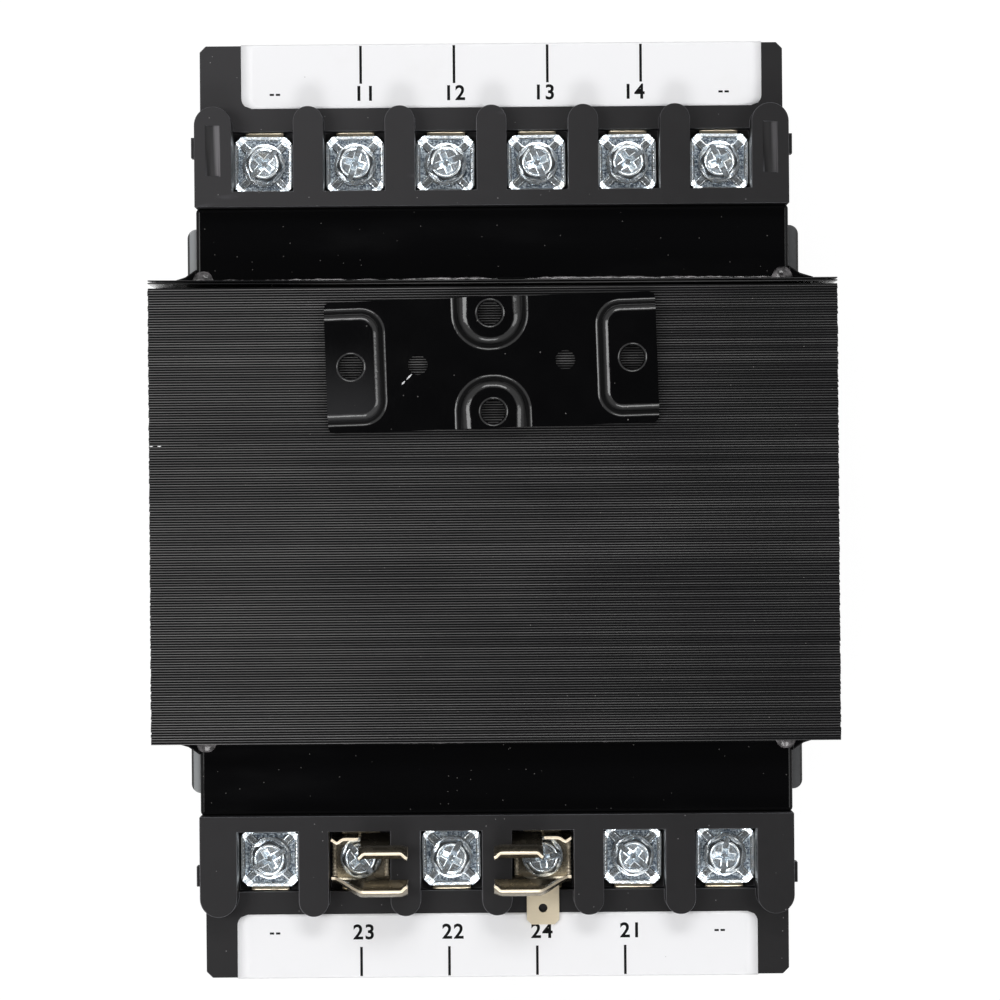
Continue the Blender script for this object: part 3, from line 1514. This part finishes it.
def build_clips():
    s = settings("clip")
    terminal = settings("terminal")
    barrier_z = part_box("secondary_terminal_housing")[1].z
    fuse = next(m for m in frame["record"]["mounts"] if m["name"] == "secondary_fuse_clips")
    fuse_z = fuse["pos_m"][2]
    for node, number, hand in (("left_fuse_clip", 2, 1), ("right_fuse_clip", 4, -1)):
        low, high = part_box(f"secondary_screw_{number}")
        middle = (low + high) / 2
        seat = high.z - terminal.head_h

        def placed(points):
            return [Vector((middle.x + hand * p, middle.y - q, z)) for p, q, z in points]

        sheet = clip_shape(s, seat, fuse_z, barrier_z)
        sheet.points = placed(sheet.points)
        mesh = sheet.mesh(f"{node}_sheet", 70)
        for kind in ("spring", "cut"):
            mesh.materials.append(finish(kind))
        piece = add_piece(f"{node}_sheet", mesh, "spring", [node])
        modify(piece, "SOLIDIFY", thickness=s.sheet, offset=0.0, material_offset_rim=1)
        round_edges(piece, 0.12 * MM, 2, 50)
        lips = clip_lips(s, seat)
        lips.points = placed(lips.points)
        add_shape(f"{node}_lips", lips, "cut")
    dress("quick_connect_tab", "tab", 0.2 * MM)


# ---- Stage ----

def shown_ray(nodes):
    """1 for what the camera or a reflection sees."""
    path = nodes.node("ShaderNodeLightPath", output="Is Camera Ray")
    return nodes.math("MAXIMUM", path, path.other("Is Glossy Ray"))


def build_floor():
    """A pale floor that shows white, with a faint shadow of the part."""
    f = Finish("pale_floor")
    grain = f.noise(60 * MM, 2)
    bounce = f.node("ShaderNodeBsdfPrincipled", inputs={
        "Base Color": f.mix(grain, (0.78,) * 3, (0.82,) * 3), "Roughness": 1.0,
        "Specular IOR Level": 0.0,
    })
    shade = f.node("ShaderNodeBsdfDiffuse", inputs={"Color": (0.22,) * 3})
    glow = f.node("ShaderNodeEmission", inputs={"Color": (1.0,) * 3, "Strength": 0.88})
    seen = f.node("ShaderNodeAddShader", inputs={0: shade, 1: glow})
    both = f.node("ShaderNodeMixShader", inputs={0: shown_ray(f), 1: bounce, 2: seen})
    f.node("ShaderNodeOutputMaterial", inputs={"Surface": both})
    half = 4.0
    floor = Shape()
    floor.skin([[(-half, -half, z), (half, -half, z), (half, half, z), (-half, half, z)]
                for z in (-0.01, -0.0001)])
    obj = bpy.data.objects.new("floor", floor.mesh("floor"))
    obj.data.materials.append(f.material)
    bpy.context.scene.collection.objects.link(obj)


def build_world(s):
    """A pale tent with a dark opening straight above, so that flat black gloss stays black.

    Gloss sees the tent's walls in white, brightest well above the horizon.
    """
    world = bpy.data.worlds.new("studio")
    world.use_nodes = True
    bpy.context.scene.world = world
    n = Nodes(world.node_tree)
    direction = n.node("ShaderNodeTexCoord", output="Generated")
    up = n.node("ShaderNodeSeparateXYZ", inputs={0: direction}, output="Z")
    walls = 1 - n.between(up, 0.955, 0.985)
    path = n.node("ShaderNodeLightPath", output="Is Camera Ray")
    sheen = path.other("Is Glossy Ray") * walls * (n.between(up, 0.1, 0.6) * 0.75 + 0.2)
    strength = n.math("MAXIMUM", path, n.math("MAXIMUM", sheen, walls * s.room + 0.02))
    glow = n.node("ShaderNodeBackground", inputs={"Color": (1.0, 1.0, 1.0), "Strength": strength})
    n.node("ShaderNodeOutputWorld", inputs={"Surface": glow})


def add_lamp(name, place, wide, high, energy, aim):
    """A soft lamp that the camera doesn't see."""
    data = bpy.data.lights.new(name, "AREA")
    data.shape = "RECTANGLE"
    data.size = wide
    data.size_y = high
    data.energy = energy
    lamp = bpy.data.objects.new(name, data)
    lamp.location = place
    lamp.rotation_euler = (aim - Vector(place)).to_track_quat("-Z", "Y").to_euler()
    lamp.visible_camera = False
    bpy.context.scene.collection.objects.link(lamp)


def build_stage():
    s = settings("stage")
    build_floor()
    build_world(s)
    middle = (CAD_BOX[0] + CAD_BOX[1]) / 2
    add_lamp("left_lamp", (-0.62, 0.06, 1.3), 0.34, 0.65, s.left, middle)
    add_lamp("right_lamp", (0.72, -0.06, 1.22), 0.36, 0.6, s.right, middle)
    add_lamp("primary_lamp", (0.06, 0.72, 1.25), 0.62, 0.3, s.primary, middle)
    add_lamp("secondary_lamp", (-0.06, -0.78, 1.18), 0.5, 0.34, s.secondary, middle)
    data = bpy.data.cameras.new("camera")
    data.sensor_width = 36
    data.lens = s.lens
    data.clip_end = 20
    camera = bpy.data.objects.new("camera", data)
    core_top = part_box("core_i_stack")[1].z
    camera.location = (s.aside_x, s.aside_y, core_top + s.stand_off)
    camera.rotation_euler = (0, 0, s.roll)
    bpy.context.scene.collection.objects.link(camera)
    bpy.context.scene.camera = camera
    bpy.context.scene.view_settings.view_transform = "Standard"


# ---- The add-on ----

class TRANSFORMER_OT_core(bpy.types.Operator):
    """Stack the E and I laminations and the loose end plates"""

    bl_idname = "transformer.core"
    bl_label = "Core"

    def execute(self, context):
        build_core()
        return {"FINISHED"}


class TRANSFORMER_OT_welds(bpy.types.Operator):
    """Lay the rippled weld beads along the core's sides"""

    bl_idname = "transformer.welds"
    bl_label = "Weld beads"

    def execute(self, context):
        build_welds()
        return {"FINISHED"}


class TRANSFORMER_OT_feet(bpy.types.Operator):
    """Paint the mounting feet and round their edges"""

    bl_idname = "transformer.feet"
    bl_label = "Mounting feet"

    def execute(self, context):
        build_feet()
        return {"FINISHED"}


class TRANSFORMER_OT_plate(bpy.types.Operator):
    """Press the fuse-block plate with its four pads"""

    bl_idname = "transformer.plate"
    bl_label = "Fuse-block plate"

    def execute(self, context):
        build_plate()
        return {"FINISHED"}


class TRANSFORMER_OT_coil(bpy.types.Operator):
    """Finish the potted coil and the resin in its corners"""

    bl_idname = "transformer.coil"
    bl_label = "Coil"

    def execute(self, context):
        build_coil()
        build_seams()
        return {"FINISHED"}


class TRANSFORMER_OT_housings(bpy.types.Operator):
    """Finish the moulded terminal blocks and their aprons"""

    bl_idname = "transformer.housings"
    bl_label = "Terminal blocks"

    def execute(self, context):
        build_housings()
        return {"FINISHED"}


class TRANSFORMER_OT_labels(bpy.types.Operator):
    """Lay the folded labels with plain numbers"""

    bl_idname = "transformer.labels"
    bl_label = "Labels"

    def execute(self, context):
        build_labels()
        return {"FINISHED"}


class TRANSFORMER_OT_terminals(bpy.types.Operator):
    """Fit the strips, clamp plates and screws"""

    bl_idname = "transformer.terminals"
    bl_label = "Terminals"

    def execute(self, context):
        build_terminals()
        return {"FINISHED"}


class TRANSFORMER_OT_clips(bpy.types.Operator):
    """Bend the two fuse clips and finish the quick-connect tab"""

    bl_idname = "transformer.clips"
    bl_label = "Fuse clips"

    def execute(self, context):
        build_clips()
        return {"FINISHED"}


class TRANSFORMER_OT_stage(bpy.types.Operator):
    """Set up the floor, the room, the lamps and the camera"""

    bl_idname = "transformer.stage"
    bl_label = "Stage"

    def execute(self, context):
        build_stage()
        return {"FINISHED"}


OPERATORS = (
    TRANSFORMER_OT_core,
    TRANSFORMER_OT_welds,
    TRANSFORMER_OT_feet,
    TRANSFORMER_OT_plate,
    TRANSFORMER_OT_coil,
    TRANSFORMER_OT_housings,
    TRANSFORMER_OT_labels,
    TRANSFORMER_OT_terminals,
    TRANSFORMER_OT_clips,
    TRANSFORMER_OT_stage,
)


class TRANSFORMER_PT_panel(bpy.types.Panel):
    """The operators, each with its settings"""

    bl_idname = "TRANSFORMER_PT_panel"
    bl_label = "Control transformer"
    bl_space_type = "VIEW_3D"
    bl_region_type = "UI"
    bl_category = "Transformer"

    def draw(self, context):
        for operator in OPERATORS:
            self.layout.operator(operator.bl_idname)
        for group, kind in SETTINGS.items():
            box = self.layout.box()
            box.label(text=group.capitalize())
            for name in kind.__annotations__:
                box.prop(settings(group), name)


def register():
    for kind in (*SETTINGS.values(), *OPERATORS, TRANSFORMER_PT_panel):
        bpy.utils.register_class(kind)
    for group, kind in SETTINGS.items():
        setattr(bpy.types.Scene, f"transformer_{group}", bpy.props.PointerProperty(type=kind))


def unregister():
    for group in SETTINGS:
        delattr(bpy.types.Scene, f"transformer_{group}")
    for kind in reversed((*SETTINGS.values(), *OPERATORS, TRANSFORMER_PT_panel)):
        bpy.utils.unregister_class(kind)


def main():
    register()
    bpy.ops.transformer.core()
    bpy.ops.transformer.welds()
    bpy.ops.transformer.feet()
    bpy.ops.transformer.plate()
    bpy.ops.transformer.coil()
    bpy.ops.transformer.housings()
    bpy.ops.transformer.labels()
    bpy.ops.transformer.terminals()
    bpy.ops.transformer.clips()
    bpy.ops.transformer.stage()


if __name__ == "__main__":
    main()
